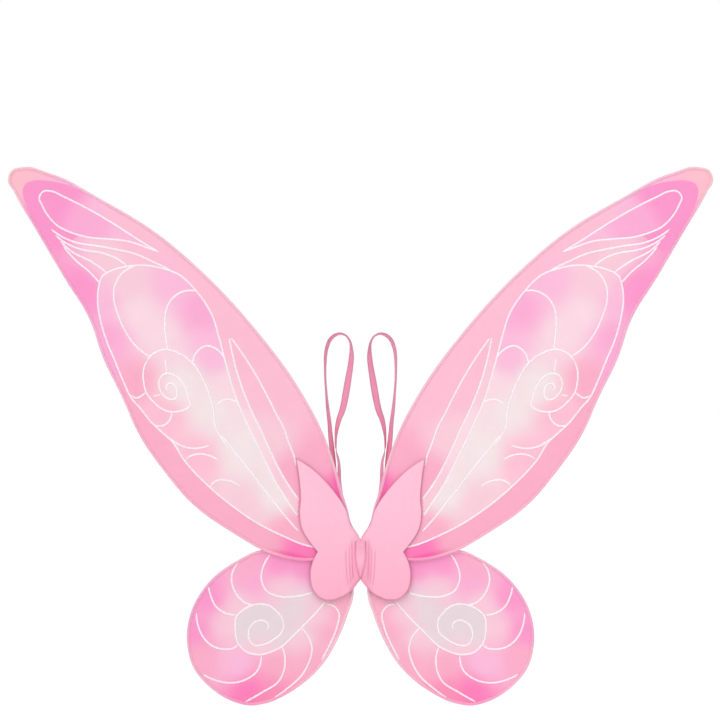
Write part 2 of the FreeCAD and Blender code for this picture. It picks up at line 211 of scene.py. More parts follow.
FACE_DEPTH = 0.05  # a flat node's front face lies within this of its foremost point
TOUCHING = 1e-3  # a point this near to an edge is on it
BATCH = 2000  # points measured at a time
WAVES = 6  # how many waves a ripple is made of
WAVES_HEIGHT = 3.5  # about how high that many waves reach together
GRID_CLEARANCE = 0.55  # how near to a line a loose point may lie, as a share of the spacing


def smooth(t):
    """0 below 0, 1 above 1 and an even step between them."""
    t = np.clip(t, 0, 1)
    return t * t * (3 - 2 * t)


def unit(vectors):
    return vectors / np.maximum(np.linalg.norm(vectors, axis=-1, keepdims=True), 1e-12)


def columns(*values):
    return np.stack(np.broadcast_arrays(*values), axis=-1).astype(float)


def placed(side, points):
    """Points (out, depth, height) of a flat side as places in the row frame, in metres."""
    out, depth, height = np.asarray(points, float).T
    angle = -side * SWEEP * smooth((out - FOLD_OUT) / FOLD_EASE / 2 + 0.5)
    x, y = side * (out - FOLD_OUT), depth + STACK / 2
    return MM * columns(side * FOLD_OUT + x * np.cos(angle) - y * np.sin(angle),
                        x * np.sin(angle) + y * np.cos(angle) - STACK, height)


def flat_points(name, side):
    """A CAD node's points in the flat frame of its side, or in the row frame where side is 0."""
    points = np.array([v.co for v in frame["nodes"][name].data.vertices]) / MM
    if not side:
        return points
    x, y = points[:, 0] - side * FOLD_OUT, points[:, 1] + STACK
    cos, sin = math.cos(SWEEP), -side * math.sin(SWEEP)
    return columns(side * (x * cos + y * sin) + FOLD_OUT, y * cos - x * sin - STACK / 2,
                   points[:, 2])


def face_outline(name, side):
    """The outline of a flat CAD node's front face, anticlockwise, and the depth of its middle."""
    points = flat_points(name, side)
    front, back = points[:, 1].min(), points[:, 1].max()
    keys = [tuple(np.round(p[[0, 2]], 3)) for p in points]
    edges = set()
    for face in frame["nodes"][name].data.polygons:
        corners = [keys[i] for i in face.vertices]
        if all(points[i, 1] < front + FACE_DEPTH for i in face.vertices):
            edges ^= {frozenset(pair) for pair in zip(corners, corners[1:] + corners[:1])}
    beside = {}
    for a, b in (tuple(edge) for edge in edges):
        beside.setdefault(a, []).append(b)
        beside.setdefault(b, []).append(a)
    loop = [min(beside)]
    while len(loop) < len(beside):
        loop.append(next(key for key in beside[loop[-1]] if key not in loop[-2:]))
    loop = np.array(loop)
    if (loop[:, 0] * np.roll(loop[:, 1], -1) - np.roll(loop[:, 0], -1) * loop[:, 1]).sum() < 0:
        loop = loop[::-1]
    return loop, (front + back) / 2


def closed(loop):
    """A loop with its first point again at its end."""
    return np.vstack([loop, loop[:1]])


def opened(loop):
    """A loop cut open at its root, where it has its longest straight edge."""
    following = np.roll(loop, -1, 0)
    gaps = np.linalg.norm(following - loop, axis=1)
    at_root = (following + loop)[:, 0] / 2 < ROOT_END
    return np.roll(loop, -int((gaps * at_root).argmax()) - 1, axis=0)


def curve_through(points, step):
    """A smooth line through given points, sampled about every step along its chords."""
    p = np.asarray(points, float)
    gaps = np.linalg.norm(np.diff(p[:, :2], axis=0), axis=1)
    if len(p) == 2:
        return evenly(p, step)
    rates = np.diff(p, axis=0) / gaps[:, None]
    inner = rates[:-1] * gaps[1:, None] + rates[1:] * gaps[:-1, None]
    inner /= (gaps[1:] + gaps[:-1])[:, None]
    slopes = np.vstack([2 * rates[:1] - inner[:1], inner, 2 * rates[-1:] - inner[-1:]])
    knots = np.concatenate([[0], np.cumsum(gaps)])
    at = np.linspace(0, knots[-1], math.ceil(knots[-1] / step) + 1)
    i = np.clip(np.searchsorted(knots, at, "right") - 1, 0, len(gaps) - 1)
    gap, t = gaps[i][:, None], ((at - knots[i]) / gaps[i])[:, None]
    return ((1 + 2 * t) * (1 - t) ** 2 * p[i] + t * (1 - t) ** 2 * gap * slopes[i]
            + t ** 2 * (3 - 2 * t) * p[i + 1] - t ** 2 * (1 - t) * gap * slopes[i + 1])


def lengths_along(line):
    """How far along a line each of its points is."""
    steps = np.linalg.norm(np.diff(line, axis=0), axis=1)
    return np.concatenate([[0], np.cumsum(steps)])


def evenly(line, step):
    """The line again, with points about step apart."""
    along = lengths_along(line)
    at = np.linspace(0, along[-1], max(2, math.ceil(along[-1] / step) + 1))
    return np.stack([np.interp(at, along, line[:, k]) for k in range(line.shape[1])], axis=1)


def evenly_round(loop, step):
    """The loop again, with points about step apart."""
    return evenly(closed(loop), step)[:-1]


def leftward(line):
    """For each point of a flat line, the direction to the left of its travel."""
    travel = unit(np.gradient(line, axis=0))
    return columns(-travel[:, 1], travel[:, 0])


def inside(points, loop):
    """Which points lie inside a closed loop."""
    found = np.zeros(len(points), bool)
    for (x0, y0), (x1, y1) in zip(loop, np.roll(loop, -1, 0)):
        crosses = (y0 > points[:, 1]) != (y1 > points[:, 1])
        if y0 != y1:
            found ^= crosses & (points[:, 0] < (x1 - x0) * (points[:, 1] - y0) / (y1 - y0) + x0)
    return found


def distance_to(points, line):
    """Each point's distance from a line of short straight pieces."""
    a, along = line[:-1], np.diff(line, axis=0)
    size = np.maximum((along ** 2).sum(1), 1e-12)
    found = []
    for start in range(0, len(points), BATCH):
        reach = points[start:start + BATCH, None] - a
        t = np.clip((reach * along).sum(2) / size, 0, 1)
        found.append(np.sqrt(((reach - t[..., None] * along) ** 2).sum(2).min(1)))
    return np.concatenate(found)


def ripple(points, wavelength, seed):
    """Aimless smooth unevenness between about -1 and 1."""
    chance = np.random.default_rng(seed)
    total = np.zeros(len(points))
    for _ in range(WAVES):
        direction = unit(chance.normal(size=points.shape[1]))
        waves = 2 * math.pi / wavelength / chance.uniform(0.7, 1.5)
        total += np.sin(points @ direction * waves + chance.uniform(0, 2 * math.pi))
    return total / WAVES_HEIGHT


def filled(outline, lines, loose, spacing):
    """Points and triangles that fill an outline, with edges along the lines."""
    low, high = outline.min(0), outline.max(0)
    across, up = np.meshgrid(np.arange(low[0], high[0], spacing),
                             np.arange(low[1], high[1], spacing * math.sqrt(3) / 2))
    across[1::2] += spacing / 2
    grid = columns(across.ravel(), up.ravel())
    grid = grid[inside(grid, outline)]
    for line in [closed(outline), *lines]:
        grid = grid[distance_to(grid, line) > spacing * GRID_CLEARANCE]
    points = [outline, *lines, *loose, grid]
    first = np.cumsum([0] + [len(p) for p in points])
    edges = [(i, i + 1) for k, line in enumerate(lines, 1)
             for i in range(first[k], first[k] + len(line) - 1)]
    found = delaunay_2d_cdt([tuple(p) for p in np.vstack(points)], edges,
                            [list(range(len(outline)))], 1, 1e-4)
    return np.array([tuple(v) for v in found[0]]), [list(face) for face in found[2]]


def add_layer(piece, name, values, kind="FLOAT", field="value", domain="POINT"):
    """Gives a piece values of its own for its material to read."""
    layer = piece.data.attributes.new(name, kind, domain)
    layer.data.foreach_set(field, np.asarray(values, np.float32).ravel())


def new_piece(name, points, faces, material, flat=None):
    """A smooth mesh from places in metres. flat is where the cloth lay, which its weave follows."""
    mesh = bpy.data.meshes.new(name)
    mesh.from_pydata([tuple(p) for p in points], [], faces)
    mesh.shade_smooth()
    mesh.materials.append(material)
    piece = bpy.data.objects.new(name, mesh)
    bpy.context.scene.collection.objects.link(piece)
    if flat is not None:
        add_layer(piece, "lay", flat, "FLOAT_VECTOR", "vector")
    return piece


def add_tint(piece, colours, domain="POINT"):
    """Gives each point of a piece, or each corner of its faces, its own dye colour."""
    shades = np.hstack([colours, np.ones((len(colours), 1))])
    add_layer(piece, "tint", shades, "FLOAT_COLOR", "color", domain)


def add_painted_shade(piece, values):
    """Says how much painted shade each point of a piece gets, from 0 to 1."""
    add_layer(piece, "painted_shade", np.clip(values, 0, 1))


def tube_faces(rings, count):
    """The faces of a closed tube of so many rings, each of count points."""
    faces = [(r * count + i, r * count + (i + 1) % count, (r + 1) * count + (i + 1) % count,
              (r + 1) * count + i) for r in range(rings - 1) for i in range(count)]
    return faces + [list(range(count))[::-1], list(range((rings - 1) * count, rings * count))]


def swept(centres, across, up, section, sizes=((1, 1),)):
    """A closed tube: section (across, up) carried along the centres, each with its sizes."""
    scaled = section * np.asarray(sizes)[:, None]
    points = (centres[:, None] + scaled[..., :1] * across[:, None] + scaled[..., 1:] * up[:, None])
    return points.reshape(-1, 3), tube_faces(len(centres), len(section))


def along_cloth(line, depth, section, sizes):
    """A tube along a flat line at this depth. Its section's second axis points to the front."""
    left = leftward(line)
    forward = np.tile([0.0, -1.0, 0.0], (len(line), 1))
    return swept(columns(line[:, 0], depth, line[:, 1]), columns(left[:, 0], 0, left[:, 1]), forward,
                 section, sizes[:, None])


def two_faced(points, faces, inset, front, back):
    """A flat fill as a closed form whose two faces meet at its edge, and its doubled points."""
    shared = inset < TOUCHING
    doubles = np.flatnonzero(~shared)
    twin = np.arange(len(points))
    twin[doubles] = len(points) + np.arange(len(doubles))
    near = columns(points[:, 0], np.where(shared, (front + back) / 2, front), points[:, 1])
    far = columns(points[doubles, 0], back[doubles], points[doubles, 1])
    behind = [[int(twin[i]) for i in reversed(face)] for face in faces]
    return np.vstack([near, far]), faces + behind, doubles


def joined(parts):
    """Several (points, faces) as one."""
    points, faces, first = [], [], 0
    for some, theirs in parts:
        points.append(some)
        faces += [[first + i for i in face] for face in theirs]
        first += len(some)
    return np.vstack(points), faces


def ring(radius, count):
    """The corners of a tube's round section."""
    angle = np.arange(count) * 2 * math.pi / count
    return columns(radius * np.cos(angle), radius * np.sin(angle))


def linear(colour):
    """A colour written as #RRGGBB, as linear red, green and blue."""
    value = np.array([int(colour[i:i + 2], 16) for i in (1, 3, 5)]) / 255
    return np.where(value <= 0.04045, value / 12.92, ((value + 0.055) / 1.055) ** 2.4)


def rgba(colour):
    return (*linear(colour), 1)


# --- materials ----------------------------------------------------------------------------------

BAND_SPACING = 0.314  # a wave texture's bands are this far apart at scale 1


def node(tree, kind, inputs=None, **settings):
    """A shader node. Inputs are values or the sockets that feed them, by name or by place."""
    made = tree.nodes.new("ShaderNode" + kind)
    for name, value in settings.items():
        setattr(made, name, value)
    for name, value in (inputs or {}).items():
        if isinstance(value, bpy.types.NodeSocket):
            tree.links.new(value, made.inputs[name])
        else:
            made.inputs[name].default_value = value
    return made


def new_material(name, **sockets):
    """A material with its uniform values set on its shader's own sockets."""
    material = bpy.data.materials.new(name)
    material.use_nodes = True
    shader = material.node_tree.nodes["Principled BSDF"]
    for socket, value in sockets.items():
        shader.inputs[socket.replace("_", " ")].default_value = value
    return material, material.node_tree, shader


def attribute(tree, name, output="Color"):
    """What a piece's own values under this name are."""
    return node(tree, "Attribute", attribute_name=name).outputs[output]


def laid(tree):
    """Where the cloth lay when flat, in millimetres."""
    return attribute(tree, "lay", "Vector")


def object_place(tree, scale=1 / MM):
    """Object coordinates, in millimetres unless another scale is given."""
    place = node(tree, "TexCoord").outputs["Object"]
    return node(tree, "VectorMath", {0: place, 3: scale}, operation="SCALE").outputs["Vector"]


def threads(tree, vector, direction, pitch, distortion=0.0):
    """Even bands with this pitch, as a value."""
    settings = {"Vector": vector, "Scale": BAND_SPACING / pitch, "Distortion": distortion}
    made = node(tree, "TexWave", settings, bands_direction=direction, wave_profile="SIN")
    return made.outputs["Fac"]


def cloudy(tree, vector, size, detail=3.0):
    """Soft noise whose blotches are about this size."""
    settings = {"Vector": vector, "Scale": 1 / size, "Detail": detail}
    return node(tree, "TexNoise", settings).outputs["Fac"]


def maths(tree, operation, a, b):
    return node(tree, "Math", {0: a, 1: b}, operation=operation).outputs["Value"]


def remapped(tree, value, low, high):
    """A value from 0 to 1 as one from low to high."""
    return node(tree, "MapRange", {"Value": value, "To Min": low, "To Max": high}).outputs["Result"]


def mixed(tree, share, a, b, blend="MIX"):
    settings = {"data_type": "RGBA", "blend_type": blend}
    return node(tree, "Mix", {0: share, 6: a, 7: b}, **settings).outputs[2]


def shaded(tree, colour, *shades):
    """A colour times each shade: a value, with what 0 and 1 of it stand for."""
    for value, low, high in shades:
        shade = remapped(tree, value, low, high)
        grey = node(tree, "CombineColor", {"Red": shade, "Green": shade, "Blue": shade})
        colour = mixed(tree, 1.0, colour, grey.outputs["Color"], "MULTIPLY")
    return colour


def finished(tree, shader, colour, relief, depth, strength, **fed):
    """Feeds a shader its colour, its relief of this depth in metres and what else is given."""
    bump = node(tree, "Bump", {"Height": relief, "Distance": depth, "Strength": strength})
    for socket, value in {"Base Color": colour, "Normal": bump.outputs["Normal"], **fed}.items():
        tree.links.new(value, shader.inputs[socket])


def weave(tree, vector, pitch):
    """Two crossing sets of threads, as a value from 0 to 1."""
    warp = threads(tree, vector, "X", pitch, 0.4)
    weft = threads(tree, vector, "Z", pitch, 0.4)
    return maths(tree, "MAXIMUM", warp, weft)


def sheer_material():
    """Fine nylon net, dyed point by point, that lets some light through."""
    material, tree, shader = new_material("sheer_nylon", Roughness=0.55, Sheen_Weight=0.08,
                                          Sheen_Roughness=0.4, Specular_IOR_Level=0.25,
                                          Alpha=0.93)
    lay = laid(tree)
    net = weave(tree, lay, 0.6)
    blotches = cloudy(tree, lay, 22)
    colour = shaded(tree, attribute(tree, "tint"), (blotches, 0.955, 1.02), (net, 0.965, 1.0))
    finished(tree, shader, colour, net, 0.00006, 0.5)
    through = node(tree, "BsdfTranslucent", {"Color": colour})
    both = node(tree, "MixShader", {0: 0.2, 1: shader.outputs[0], 2: through.outputs[0]})
    output = tree.nodes["Material Output"]
    tree.links.new(both.outputs[0], output.inputs["Surface"])
    return material


def glitter_material():
    """Glue lines full of flat glitter flecks, each with its own shine and hue."""
    material, tree, shader = new_material("glitter_glue", Coat_Weight=0.4, Coat_Roughness=0.2)
    flecks = node(tree, "TexVoronoi", {"Vector": laid(tree), "Scale": 1.7}, feature="F1")
    chance = node(tree, "SeparateColor", {"Color": flecks.outputs["Color"]})
    whiteness = remapped(tree, chance.outputs["Red"], 0.0, 0.5)
    bright = mixed(tree, whiteness, attribute(tree, "tint"), rgba("#FFFDFF"))
    hues = mixed(tree, chance.outputs["Green"], rgba("#FFE3F3"), rgba("#FFF7F2"))
    sparkle = maths(tree, "GREATER_THAN", chance.outputs["Blue"], 0.8)
    finished(tree, shader, mixed(tree, sparkle, bright, hues), flecks.outputs["Distance"], 0.0002, 0.6,
             Roughness=remapped(tree, chance.outputs["Green"], 0.15, 0.6),
             Metallic=maths(tree, "MULTIPLY", sparkle, 0.3))
    return material


def casing_material():
    """The wings' own nylon, doubled over the wire, with a satin gleam along it."""
    material, tree, shader = new_material("casing_nylon", Roughness=0.5, Sheen_Weight=0.25,
                                          Sheen_Roughness=0.35)
    lay = laid(tree)
    net = weave(tree, lay, 0.5)
    crush = cloudy(tree, lay, 2.5, 4)
    colour = shaded(tree, attribute(tree, "tint"), (net, 0.93, 1.0), (crush, 0.88, 1.05))
    relief = maths(tree, "ADD", maths(tree, "MULTIPLY", net, 0.3), crush)
    finished(tree, shader, colour, relief, 0.0003, 0.6)
    return material


def felt_material():
    """Brushed felt: short tangled fibres with a soft bloom, darker in its gathers, along its edges and
    where it is sewn down: painted shade.
    """
    material, tree, shader = new_material("brushed_felt", Roughness=0.95, Sheen_Weight=0.35,
                                          Sheen_Roughness=0.55)
    shader.inputs["Sheen Tint"].default_value = rgba("#FFDCE6")
    lay = laid(tree)
    fibres = cloudy(tree, lay, 0.7, 5)
    clumps = cloudy(tree, lay, 6, 3)
    # Lighter towards the top and darker towards the bottom: painted shade.
    height = node(tree, "SeparateXYZ", {"Vector": lay}).outputs["Z"]
    rise = node(tree, "MapRange", {"Value": height, "From Min": -50, "From Max": 70})
    fade = mixed(tree, rise.outputs["Result"], rgba("#FFB2CC"), rgba("#FFC6DB"))
    colour = mixed(tree, remapped(tree, clumps, 0.0, 0.5), fade, rgba("#FFB6CE"))
    # The felt turns towards this darker pink by its painted_shade values: painted shade in gathers,
    # along edges and beside seams.
    colour = mixed(tree, attribute(tree, "painted_shade", "Fac"), colour, rgba("#EC86A9"))
    relief = maths(tree, "ADD", fibres, maths(tree, "MULTIPLY", clumps, 0.6))
    finished(tree, shader, shaded(tree, colour, (fibres, 0.9, 1.06)), relief, 0.0006, 0.5)
    return material


def elastic_material(name, centre, border, half_width, centre_half):
    """Braided elastic: a raised middle of fine ribs between two flat, darker borders."""
    material, tree, shader = new_material(name, Roughness=0.6, Sheen_Weight=0.2,
                                          Sheen_Roughness=0.4)
    lay = laid(tree)
    parts = node(tree, "SeparateXYZ", {"Vector": lay})
    across = node(tree, "Math", {0: parts.outputs["X"]}, operation="ABSOLUTE").outputs["Value"]
    slant = node(tree, "CombineXYZ", {"X": maths(tree, "ADD", parts.outputs["Z"], across)})
    chevrons = threads(tree, slant.outputs["Vector"], "X", 1.1, 0.3)
    cords = threads(tree, lay, "X", half_width * 2 / 9)
    settings = {"Value": across, "From Min": centre_half, "From Max": centre_half + 0.5}
    edge = node(tree, "MapRange", settings, interpolation_type="SMOOTHSTEP").outputs["Result"]
    colour = mixed(tree, edge, rgba(centre), rgba(border))
    colour = shaded(tree, colour, (chevrons, 0.88, 1.03), (cords, 0.93, 1.03))
    finished(tree, shader, colour, maths(tree, "ADD", chevrons, cords), 0.0002, 0.8)
    return material


def laid_thread(name, roughness, colours, rows, blotch, shades, relief):
    """Thread in rows (direction, pitch, unevenness), with shades between and at its ridges."""
    material, tree, shader = new_material(name, Roughness=roughness, Sheen_Weight=0.2)
    place = object_place(tree)
    ridges = threads(tree, place, *rows)
    colour = mixed(tree, cloudy(tree, place, blotch), *map(rgba, colours))
    finished(tree, shader, shaded(tree, colour, (ridges, *shades)), ridges, *relief)
    return material


def thread_material(name, deep, pale):
    """Twisted polyester thread."""
    return laid_thread(name, 0.45, (deep, pale), ("DIAGONAL", 0.35, 1.5), 4, (0.85, 1.05),
                       (0.00008, 0.8))


def steel_material():
    """Drawn spring-steel wire, with fine marks along it and a trace of oil."""
    material, tree, shader = new_material("spring_steel", Metallic=1.0)
    place = object_place(tree)
    marks = cloudy(tree, place, 0.3, 6)
    colour = mixed(tree, cloudy(tree, place, 8), rgba("#8F8F94"), rgba("#C4C4C8"))
    finished(tree, shader, colour, marks, 0.00002, 0.6, Roughness=remapped(tree, marks, 0.25, 0.5))
    return material


def crimp_material():
    """Soft aluminium, dented by the crimping tool."""
    material, tree, shader = new_material("crimped_aluminium", Metallic=1.0)
    place = object_place(tree)
    dents = threads(tree, place, "X", 3.5, 0.6)
    scuffs = cloudy(tree, place, 0.8, 5)
    colour = mixed(tree, scuffs, rgba("#B9B9BE"), rgba("#DCDCDF"))
    finished(tree, shader, colour, dents, 0.0003, 0.9, Roughness=remapped(tree, scuffs, 0.3, 0.6))
    return material


def wound_material():
    """Thread wound round and round, close together."""
    return laid_thread("wound_thread", 0.5, ("#EFA0BB", "#F9BDD0"), ("X", 0.5, 0.2), 3, (0.72, 1.04),
                       (0.0003, 1.0))


def bar_tack_material():
    """A bar of zigzag stitches packed side by side."""
    return laid_thread("bar_tack_thread", 0.45, ("#E0809F", "#F19DB8"), ("X", 0.45, 0.8), 1.5,
                       (0.65, 1.05), (0.0003, 1.0))


def wadding_material():
    """Loose white polyester fibre."""
    material, tree, shader = new_material("wadding", Roughness=1.0, Sheen_Weight=0.4)
    place = object_place(tree)
    tufts = cloudy(tree, place, 2.5, 6)
    hairs = cloudy(tree, place, 0.4, 6)
    colour = mixed(tree, tufts, rgba("#E9E2E1"), rgba("#FFFBFA"))
    finished(tree, shader, colour, maths(tree, "ADD", tufts, hairs), 0.0012, 0.9)
    return material


def ribbed_material():
    """Narrow woven elastic round the neck, ribbed across."""
    material, tree, shader = new_material("gather_elastic", Roughness=0.7, Sheen_Weight=0.2)
    place = object_place(tree)
    ribs = threads(tree, place, "Z", 1.0, 0.2)
    wales = threads(tree, place, "DIAGONAL", 0.6, 0.2)
    colour = mixed(tree, cloudy(tree, place, 5), rgba("#F2E9EA"), rgba("#FFF9F9"))
    colour = shaded(tree, colour, (ribs, 0.82, 1.02))
    finished(tree, shader, colour, maths(tree, "ADD", ribs, wales), 0.0003, 0.9)
    return material


def floor_material():
    """A pale, even floor."""
    material, tree, shader = new_material("pale_floor", Roughness=0.9)
    grain = mixed(tree, cloudy(tree, object_place(tree, 1), 0.6, 2), rgba("#FBFBFB"), rgba("#FFFFFF"))
    tree.links.new(grain, shader.inputs["Base Color"])
    return material


# --- the wings ----------------------------------------------------------------------------------

SEAM_OVERLAP = 0.3  # how far the CAD panel runs into its hem
CLOTH_SPACING = 3.2
VEIN_STEP = 1.6
VEIN_HALF_WIDTH = 1.3
CASING_STEP = 1.6
LIP_ANGLE = 32  # the casing's tube starts this many degrees from the middle of its lip
# The casing is lightened towards this tint: painted light.
CASING_LIGHT_TINT = "#FFD6E2"
CASING_LIGHT_SHARE = 0.25  # how far the casing's colour goes from the dye beside it to that tint: painted light on the tube
ROOT_HIGHLIGHT_SHARE = 0.3  # and how much further at the root, as a painted highlight
SOAKED = 0.15  # the share of the dye that shows in the glitter lines
STITCH_PITCH = 3.2
STITCH_LENGTH = 2.3
STITCH_INSET = 0.35  # the seam runs on the casing's lip, this far from its tube
THREAD_RADIUS = 0.2
FERRULE_CLEARANCE = 1  # the casing stops this far from the ferrule
VEIL = 0.072  # the white that shows through the cloth and shines off it
COVER_END = 70  # out to here the cover holds the cloth flat
COVER_EASE = 70  # and over this much more it comes free
BOW_REACH = 40  # the cloth takes up its bow over about this much from its edge
PUCKER = 0.3  # the height of the puckers along the hem, their wavelength and how far in they go
PUCKER_WAVE = 15
PUCKER_REACH = 14
SLACK = 0.7  # the same of the slow waves in the middle of the cloth
SLACK_WAVE = 85
SLACK_REACH = 30


class Wing:
    """One wing's outline and depth from the frame, with its own glitter lines and dyes."""

    def __init__(self, side_name, which, veins, prints, dyes, cells, bow):
        self.prefix = f"{side_name}_{which}"
        self.body = f"{side_name}_half"
        self.side = SIDES[side_name]
        outline, self.depth = face_outline(f"{self.prefix}_panel", self.side)
        self.outline = outline
        self.edge = closed(outline)
        self.veins = [curve_through(points, VEIN_STEP) for points in veins]
        self.prints = [curve_through(points, 3) for points in prints]
        self.dyes = dyes
        self.cells = {name: curve_through(points, 4) for name, points in cells.items()}
        self.bow = bow
        hem = flat_points(f"{self.prefix}_hem", self.side)
        self.hem_radius = (hem[:, 1].max() - hem[:, 1].min()) / 2

    def sheet_depth(self, points):
        """The depth of the cloth: bowed in the middle, puckered at its edge, flat at the root."""
        inset = distance_to(points, self.edge)
        free = smooth((points[:, 0] - COVER_END) / COVER_EASE)
        bow = self.bow * (1 - np.exp(-inset / BOW_REACH)) * free
        pucker = PUCKER * ripple(points, PUCKER_WAVE, 3) * np.exp(-inset / PUCKER_REACH)
        slack = SLACK * ripple(points, SLACK_WAVE, 8) * (1 - np.exp(-inset / SLACK_REACH)) * free
        return self.depth + bow + pucker * smooth(inset / 3) + slack

    def cell_of(self, points):
        """The name of the cell that each point lies in."""
        names = np.full(len(points), "rim", dtype=object)
        for name, loop in self.cells.items():
            names[inside(points, loop)] = name
        return names

    def dyed(self, points, cells):
        """The dye colour at each point, from the colours chosen for its cell."""
        colours = np.zeros((len(points), 3))
        for cell, spots in self.dyes.items():
            at = np.flatnonzero(cells == cell)
            places = np.array([spot[1:] for spot in spots], float)
            shades = np.array([linear(spot[0]) for spot in spots])
            square = ((points[at, None] - places) ** 2).sum(2)
            weight = 1 / (square + DYE_BLEED ** 2) ** 2
            colours[at] = (weight / weight.sum(1, keepdims=True)) @ shades
        return np.maximum((colours - VEIL) / (1 - VEIL), 0.01)


def hem_line(wing):
    """The middle line of a wing's hem: the panel's outline without its notch, moved outwards."""
    curve = opened(wing.outline)[1:-1]
    moved = curve - leftward(curve) * (wing.hem_radius - SEAM_OVERLAP)
    ferrule = flat_points(f"{wing.prefix}_ferrule", wing.side)[:, 0]
    stops = [ferrule.min() - FERRULE_CLEARANCE, ferrule.max() + FERRULE_CLEARANCE]
    if moved[0][0] > moved[-1][0]:
        stops.reverse()
    first, last = [stops[0], moved[0][1]], [stops[1], moved[-1][1]]
    return evenly(np.vstack([[first], moved, [last]]), CASING_STEP)


def build_sheet(wing, material):
    """The sheer cloth, its colours changing exactly at the glitter lines."""
    lines = [evenly(vein, 3) for vein in wing.veins] + wing.prints
    points, faces = filled(wing.outline, lines, [], CLOTH_SPACING)
    flat = columns(points[:, 0], wing.sheet_depth(points), points[:, 1])
    piece = new_piece(f"{wing.prefix}_sheet", placed(wing.side, flat), faces, material, flat)
    centres = np.array([points[face].mean(0) for face in faces])
    cells = np.repeat(wing.cell_of(centres), [len(face) for face in faces])
    add_tint(piece, wing.dyed(points[np.concatenate(faces)], cells), "CORNER")
    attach(piece, wing.body)
    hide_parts(f"{wing.prefix}_panel")
    return piece


def build_veins(wing, material):
    """Raised lines of glitter glue on the front of the cloth, a little soaked through it."""
    section = VEIN_HALF_WIDTH * columns([-1, -0.55, 0, 0.55, 1, 0.6, -0.6],
                                        [0.06, 0.34, 0.42, 0.34, 0.06, -0.16, -0.16])
    parts = []
    for number, line in enumerate(wing.veins):
        along = lengths_along(line)
        taper = smooth(np.minimum(along, along[-1] - along) / 5) * 0.6 + 0.4
        sizes = taper * (1 + 0.13 * ripple(along[:, None], 6, number))
        parts.append(along_cloth(line, wing.sheet_depth(line), section, sizes))
    flat, faces = joined(parts)
    piece = new_piece(f"{wing.prefix}_veins", placed(wing.side, flat), faces, material, flat)
    beneath = np.repeat(np.vstack(wing.veins), len(section), axis=0)
    dye = wing.dyed(beneath, wing.cell_of(beneath))
    add_tint(piece, SOAKED * dye + (1 - SOAKED) * linear(GLITTER))
    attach(piece, wing.body)
    return piece


def casing_section(radius):
    """The casing: a tube round the wire whose two layers meet as a lip over the cloth's edge."""
    angle = np.radians(np.arange(LIP_ANGLE, 361 - LIP_ANGLE, 22.8))
    tube = radius * columns(np.cos(angle), np.sin(angle))
    lip = columns([radius + 0.15, radius + 0.75, radius + 0.75, radius + 0.15],
                  [-0.5, -0.3, 0.3, 0.5])
    return np.vstack([tube, lip])


def build_casing(wing, material):
    """The casing sewn round the wire, crumpled a little from stitch to stitch."""
    line = hem_line(wing)
    along = lengths_along(line)
    puffs = 0.02 * np.sin(along * 2 * math.pi / (2 * STITCH_PITCH))
    sizes = 1 + 0.035 * ripple(along[:, None], 9, 5) + puffs
    flat, faces = along_cloth(line, wing.depth, casing_section(wing.hem_radius), sizes)
    piece = new_piece(f"{wing.prefix}_casing", placed(wing.side, flat), faces, material, flat)
    beneath = flat[:, [0, 2]]
    # The veil's white goes back into the casing's colour: painted see-through white and sheen.
    dye = wing.dyed(beneath, np.full(len(beneath), "rim", dtype=object)) * (1 - VEIL) + VEIL
    # Paler near the root: a painted highlight.
    root = smooth((60 - beneath[:, :1]) / 15) * smooth((170 - beneath[:, 1:]) / 25)
    pale = CASING_LIGHT_SHARE + ROOT_HIGHLIGHT_SHARE * root
    add_tint(piece, dye * (1 - pale) + pale * linear(CASING_LIGHT_TINT))
    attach(piece, wing.body)
    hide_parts(f"{wing.prefix}_hem")
    return piece


def stitches(line, depth, towards, pitch, size, radius):
    """Short stitches that dip at both ends, along a line at this depth."""
    marks = evenly(line, pitch)
    travel = unit(np.gradient(marks, axis=0))
    steps = np.linspace(-0.5, 0.5, 5)
    arch = 1 - (2 * steps) ** 2
    sizes = np.sqrt(np.clip(arch + 0.05, 0.1, 1))
    return joined([along_cloth(mark + steps[:, None] * size * ahead,
                               depth + towards * radius * 1.2 * arch, ring(radius, 6), sizes)
                   for mark, ahead in zip(marks, travel)])


def build_hem_stitches(wing, material):
    """The lockstitch that closes the casing, seen on both faces."""
    line = hem_line(wing)
    seam = line + leftward(line) * (wing.hem_radius + STITCH_INSET)
    seam = seam[seam[:, 0] > FOLD_OUT + 6]
    both = [stitches(seam, wing.depth + towards * 0.42, towards, STITCH_PITCH, STITCH_LENGTH,
                     THREAD_RADIUS) for towards in (-1, 1)]
    flat, faces = joined(both)
    piece = new_piece(f"{wing.prefix}_seam", placed(wing.side, flat), faces, material, flat)
    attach(piece, wing.body)
    return piece


def build_wing(wing, materials):
    """The pieces of one wing."""
    sheet = build_sheet(wing, materials["sheer"])
    veins = build_veins(wing, materials["glitter"])
    casing = build_casing(wing, materials["casing"])
    seam = build_hem_stitches(wing, materials["hem_thread"])


# --- the butterfly cover ------------------------------------------------------------------------

FELT_SPACING = 2.2
FELT_RINGS = (0.35, 0.9, 1.6, 2.6)
EDGE_GAP = 4.0  # the felt's inner face lies this far from the middle of the stack at its edge
INNER_GAP = 4.65  # and this far elsewhere
NECK_GAP = 5.7  # and this far over the wadding of the neck
FELT_EDGE = 1.5  # the felt is rounded over within this of its edge
FELT_THICKNESS = 1.25
FELT_CROWN = 1.15  # how much thicker it is well inside
NECK_END = 26  # the felt starts to be gathered here, and is fully so NECK_EASE further in
NECK_EASE = 14
ROLL = 3.2  # how far the felt's edge rolls in round the neck
PLEAT_DEPTH = 0.85
PLEAT_HALF_WIDTH = 0.8
